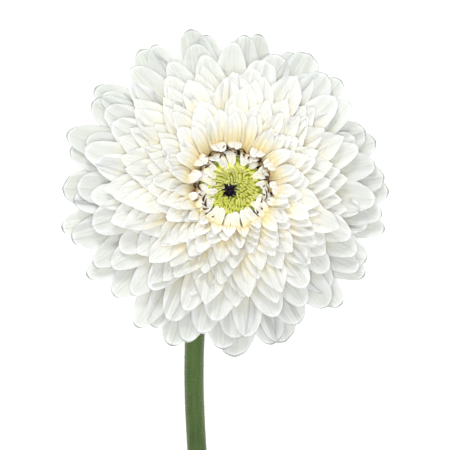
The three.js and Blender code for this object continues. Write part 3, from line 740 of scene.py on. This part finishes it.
def bractPlan(tree, size, number):
    row = add(tree, "ShaderNodeMath", [number, size["perRow"]], operation="DIVIDE")
    row = add(tree, "ShaderNodeMath", [row], operation="FLOOR")
    place = add(tree, "ShaderNodeMath", [row, 0.5, number], operation="MULTIPLY_ADD")  # rows are staggered
    place = add(tree, "ShaderNodeMath", [place, size["perRow"]], operation="DIVIDE")
    up = add(tree, "ShaderNodeMath", [row, 0.5], operation="MULTIPLY")
    radius = add(tree, "ShaderNodeFloatCurve", [1, up], points=cupWall)
    radius = add(tree, "ShaderNodeMath", [radius, size["cupRadius"]], operation="MULTIPLY")
    foot = add(tree, "ShaderNodeMath", [row, size["rowRise"], size["rootHeight"]], operation="MULTIPLY_ADD")
    long = strayed(tree, number, "reach", size["length"], size["lengthJitter"])
    return {
        "azimuth": add(tree, "ShaderNodeMath", [place, 2 * math.pi], operation="MULTIPLY"),
        "rootRadius": radius,
        "rootHeight": foot,
        "tipRadius": add(tree, "ShaderNodeMath", [long, size["runsOut"], radius], operation="MULTIPLY_ADD"),
        "tipHeight": add(tree, "ShaderNodeMath", [long, size["runsUp"], foot], operation="MULTIPLY_ADD"),
    }


growBlades("bracts", bracts, bractPlan, pointed, greenBract, "involucre")
cup = [
    (0, -12), (4.3, -12), (4.9, -11.4), (5.5, -10.8), (7, -9.5), (8.6, -8.2), (10.4, -6.6), (12, -5),
    (13, -3.6), (13.3, -2.5), (13.2, -1.9), (0, -1.9),
]
finished(turned("greenCup", cup, 48, greenBract), "involucre")


# The stem lies along the table and bends up at the neck, into the cup. Sizes are in mm.
stem = {
    "tube": {
        "radius": 3.5, "neckRadius": 4.2, "sides": 32,
        "hairsPerSquare": 0.16, "hairLength": 0.9, "hairWidth": 0.07, "hairSeed": 7,
        "hairsAbove": 1.6,  # none grow below this, where the stem lies on the table
        "cutArea": 20.0,  # a larger face is a cut end
    },
    "route": {
        "length": 250, "drift": 0.05,  # the drift is the slant of the lying part
        "rise": 95, "aside": 12,  # the bend starts this far before the bloom, and beside it
        "neckDrop": 12.2,  # from the bloom's middle to the top
        "lowReach": 0.66, "neckReach": 14,  # how long the bend keeps low, as a share, and follows the neck
        "lyingSteps": 30, "risingSteps": 48,
    },
}


# The stem's midline, on the table: straight, then a curve with four corners.
def stemPath():
    route = stem["route"]
    facing = bloomTurn @ Vector((0, 0, 1))
    middle = Vector(bloomPlace["middle"])
    lies = stem["tube"]["radius"] * math.cos(math.pi / 14)  # the CAD's stem has 14 sides and lies on one
    top = middle - facing * route["neckDrop"]
    leaves = Vector((middle.x - route["aside"], middle.y - route["rise"], lies))
    ahead = Vector((-route["drift"], 1, 0)).normalized()
    start = leaves - ahead * (route["length"] - route["rise"])
    low = leaves + ahead * route["lowReach"] * route["rise"]
    corners = [leaves, low, top - facing * route["neckReach"], top]
    path = [start.lerp(leaves, i / route["lyingSteps"]) for i in range(route["lyingSteps"])]
    for i in range(route["risingSteps"] + 1):
        points, share = corners, i / route["risingSteps"]
        while len(points) > 1:
            points = [a.lerp(b, share) for a, b in zip(points, points[1:])]
        path.append(points[0])
    return path


# Smooth and fleshy, with fine ridges along it, paler patches and a light bloom of wax. The ridges and
# specks are finer in life, and are drawn as coarse as they have to be to show.
def stemFinish():
    material, tree = newMaterial("fleshy green stem")
    where = add(tree, "ShaderNodeTexCoord").node.outputs["Object"]
    drawn = add(tree, "ShaderNodeMapping", {"Vector": where, "Scale": (1, 0.06, 1)})  # long along the stem
    ridges = add(tree, "ShaderNodeTexNoise", {"Vector": drawn, "Scale": scaleFor(0.667), "Detail": 2.0})
    patches = add(tree, "ShaderNodeTexNoise", {"Vector": where, "Scale": scaleFor(16.7), "Detail": 3.0})
    specks = add(tree, "ShaderNodeTexNoise", {"Vector": where, "Scale": scaleFor(0.556), "Detail": 2.0})
    colour = add(tree, "ShaderNodeValToRGB", [patches], stops=[
        (0.3, "#4a6031"), (0.55, "#546c37"), (0.75, "#637a43"),
    ])
    ridged = add(tree, "ShaderNodeMapRange", [ridges, 0.4, 0.7, 0, 0.3])
    colour = add(tree, "ShaderNodeMix", [ridged, colour, "#6d8353"], data_type="RGBA")
    darkened = add(tree, "ShaderNodeMapRange", [specks, 0.55, 0.75, 0, 0.35])
    colour = add(tree, "ShaderNodeMix", [darkened, colour, "#3d5430"], data_type="RGBA")
    bump = add(tree, "ShaderNodeBump", {"Strength": 0.35, "Distance": 0.0003, "Height": ridges})
    surfaced(tree, add(tree, "ShaderNodeBsdfPrincipled", {
        "Base Color": colour, "Roughness": 0.46, "IOR": 1.4, "Subsurface Weight": 0.12,
        "Subsurface Radius": (0.9, 1.0, 0.4), "Subsurface Scale": 0.0012, "Normal": bump,
    }))
    return material


# The wet pith of the cut end: cream in the middle, green under the skin. Its cells are a tenth of a
# millimetre in life, and are drawn as coarse as they have to be to show.
def cutFinish():
    material, tree = newMaterial("pale cut pith")
    where = add(tree, "ShaderNodeTexCoord").node.outputs["Object"]
    cells = add(tree, "ShaderNodeTexVoronoi", {"Vector": where, "Scale": scaleFor(0.769)})
    middle = tuple(millimetre @ stemPath()[0])
    off = add(tree, "ShaderNodeVectorMath", [where, middle], operation="DISTANCE")
    colour = add(tree, "ShaderNodeMapRange", [off, 0, 0.001 * stem["tube"]["radius"], 0, 1])
    colour = add(tree, "ShaderNodeValToRGB", [colour], stops=[
        (0.2, "#dcdcb4"), (0.7, "#b9c585"), (0.9, "#6f8748"),
    ])
    celled = add(tree, "ShaderNodeMapRange", [cells, 0.2, 0.8, 0, 0.25])
    colour = add(tree, "ShaderNodeMix", [celled, colour, "#93a561"], data_type="RGBA")
    bump = add(tree, "ShaderNodeBump", {"Strength": 0.3, "Distance": 0.0002, "Height": cells})
    surfaced(tree, add(tree, "ShaderNodeBsdfPrincipled", {
        "Base Color": colour, "Roughness": 0.35, "IOR": 1.36, "Normal": bump,
    }))
    return material


greenStem = stemFinish()
paleCut = cutFinish()
# Short and nearly white, a light fuzz along the stem's outline.
stemHair = skinFinish("pale stem hair", [(0, "#a9bd8a"), (1, "#e3e8d2")], 0.6, 0.1, "#2b3010")


# A tube along the path, a little wider at the neck, with hairs on all but its underside.
def stemTree():
    tree, size = newTree("stem", stem["tube"])
    tree.interface.new_socket("path", in_out="INPUT", socket_type="NodeSocketGeometry")
    tree.interface.move(tree.interface.items_tree["path"], 0)
    path = tree.nodes.new("NodeGroupInput").outputs["path"]
    place = add(tree, "GeometryNodeSplineParameter")
    neck = add(tree, "ShaderNodeFloatCurve", [1, place], points=[(0, 0), (0.86, 0), (0.95, 0.35), (1, 1)])
    thick = add(tree, "ShaderNodeMix", [neck, size["radius"], size["neckRadius"]])
    path = add(tree, "GeometryNodeSetCurveRadius", [path, None, thick])
    ring = add(tree, "GeometryNodeCurvePrimitiveCircle", [size["sides"], 1.0])
    bare = add(tree, "GeometryNodeCurveToMesh", [path, ring, thick, True])
    bare = add(tree, "GeometryNodeSetShadeSmooth", [bare, None, True])
    skin = add(tree, "GeometryNodeSetMaterial", [bare, None, greenStem])
    area = add(tree, "GeometryNodeInputMeshFaceArea")
    cut = add(
        tree, "FunctionNodeCompare", [area, size["cutArea"]], data_type="FLOAT", operation="GREATER_THAN"
    )
    skin = add(tree, "GeometryNodeSetMaterial", [skin, cut, paleCut])
    spots = add(tree, "GeometryNodeDistributePointsOnFaces", {
        "Mesh": bare, "Density": size["hairsPerSquare"], "Seed": size["hairSeed"],
    })
    height = add(tree, "ShaderNodeSeparateXYZ", [add(tree, "GeometryNodeInputPosition")]).node.outputs["Z"]
    high = add(
        tree, "FunctionNodeCompare", [height, size["hairsAbove"]], data_type="FLOAT", operation="GREATER_THAN"
    )
    hair = add(tree, "GeometryNodeMeshCone", [3, 1, 1, 0.01, size["hairWidth"], size["hairLength"]])
    hairs = add(tree, "GeometryNodeInstanceOnPoints", [
        spots, high, hair, None, None, spots.node.outputs["Rotation"],
    ])
    hairs = add(tree, "GeometryNodeRealizeInstances", [hairs])
    hairs = add(tree, "GeometryNodeSetMaterial", [hairs, None, stemHair])
    both = add(tree, "GeometryNodeJoinGeometry", [skin])
    tree.links.new(hairs, both.node.inputs[0])
    add(tree, "NodeGroupOutput", [both])
    return tree


def makeStem():
    points = stemPath()
    curve = bpy.data.curves.new("stemPath", "CURVE")
    curve.dimensions = "3D"
    spline = curve.splines.new("POLY")
    spline.points.add(len(points) - 1)
    for point, place in zip(spline.points, points):
        point.co = (*place, 1)
    return grown("stem", stemTree(), stem["tube"], millimetre, curve)


finished(makeStem(), "stem")


# The camera looks down on the bloom as the photo does, tilted by "above" degrees. Its place is in metres,
# and its lens and sensor are in mm.
view = {"target": (-0.0005, 0.0879, 0.0263), "above": 16, "distance": 0.7, "lens": 164, "sensor": 36}
# Soft square lamps that face the target, in metres and watts. The key shines from beyond the bloom.
lamps = {
    "key": {"from": (-0.15, 1.0, 0.6), "distance": 1.2, "size": 0.3, "power": 4.9},
    "fill": {"from": (0, 0.2, 1), "distance": 1.1, "size": 0.4, "power": 8.2},
}
sky = 0.32
table = {"halfSide": 3, "glow": 0.55, "grain": 2.5}  # m, strength and mm


# Plain and matt: pale enough to carry the photo's white ground.
def makeTable():
    material, tree = newMaterial("matt white table")
    where = add(tree, "ShaderNodeTexCoord").node.outputs["Object"]
    grain = scaleFor(table["grain"])
    grain = add(tree, "ShaderNodeTexNoise", {"Vector": where, "Scale": grain, "Detail": 2.0})
    colour = add(tree, "ShaderNodeValToRGB", [grain], stops=[(0.3, "#f8f8f8"), (0.7, "#fbfbfb")])
    surfaced(tree, add(tree, "ShaderNodeBsdfPrincipled", {
        "Base Color": colour, "Roughness": 0.9,
        "Emission Color": "#ffffff", "Emission Strength": table["glow"],
    }))
    far = table["halfSide"]
    mesh = bpy.data.meshes.new("table")
    mesh.from_pydata([(-far, -far, 0), (far, -far, 0), (far, far, 0), (-far, far, 0)], [], [(0, 1, 2, 3)])
    mesh.materials.append(material)
    placed("table", mesh)


def makeLamp(name, lamp):
    light = bpy.data.lights.new(name, "AREA")
    light.size, light.energy = lamp["size"], lamp["power"]
    thing = placed(name, light)
    away = Vector(lamp["from"]).normalized()
    thing.location = Vector(view["target"]) + away * lamp["distance"]
    thing.rotation_mode = "QUATERNION"
    thing.rotation_quaternion = away.to_track_quat("Z", "Y")


def makeWorld():
    world = bpy.data.worlds.new("studio")
    world.use_nodes = True
    world.node_tree.nodes.clear()
    light = add(world.node_tree, "ShaderNodeBackground", ["#ffffff", sky])
    add(world.node_tree, "ShaderNodeOutputWorld", [light])
    bpy.context.scene.world = world
    bpy.context.scene.view_settings.view_transform = "Standard"


def makeCamera():
    camera = bpy.data.cameras.new("camera")
    camera.lens, camera.sensor_width = view["lens"], view["sensor"]
    stand = placed("camera", camera)
    tilt = math.radians(view["above"])
    stand.location = Vector(view["target"]) + view["distance"] * Vector((0, math.sin(tilt), math.cos(tilt)))
    stand.rotation_euler = (-tilt, 0, 0)
    bpy.context.scene.camera = stand


makeTable()
for name, lamp in lamps.items():
    makeLamp(name, lamp)
makeWorld()
makeCamera()
print("stage: table, light and camera")
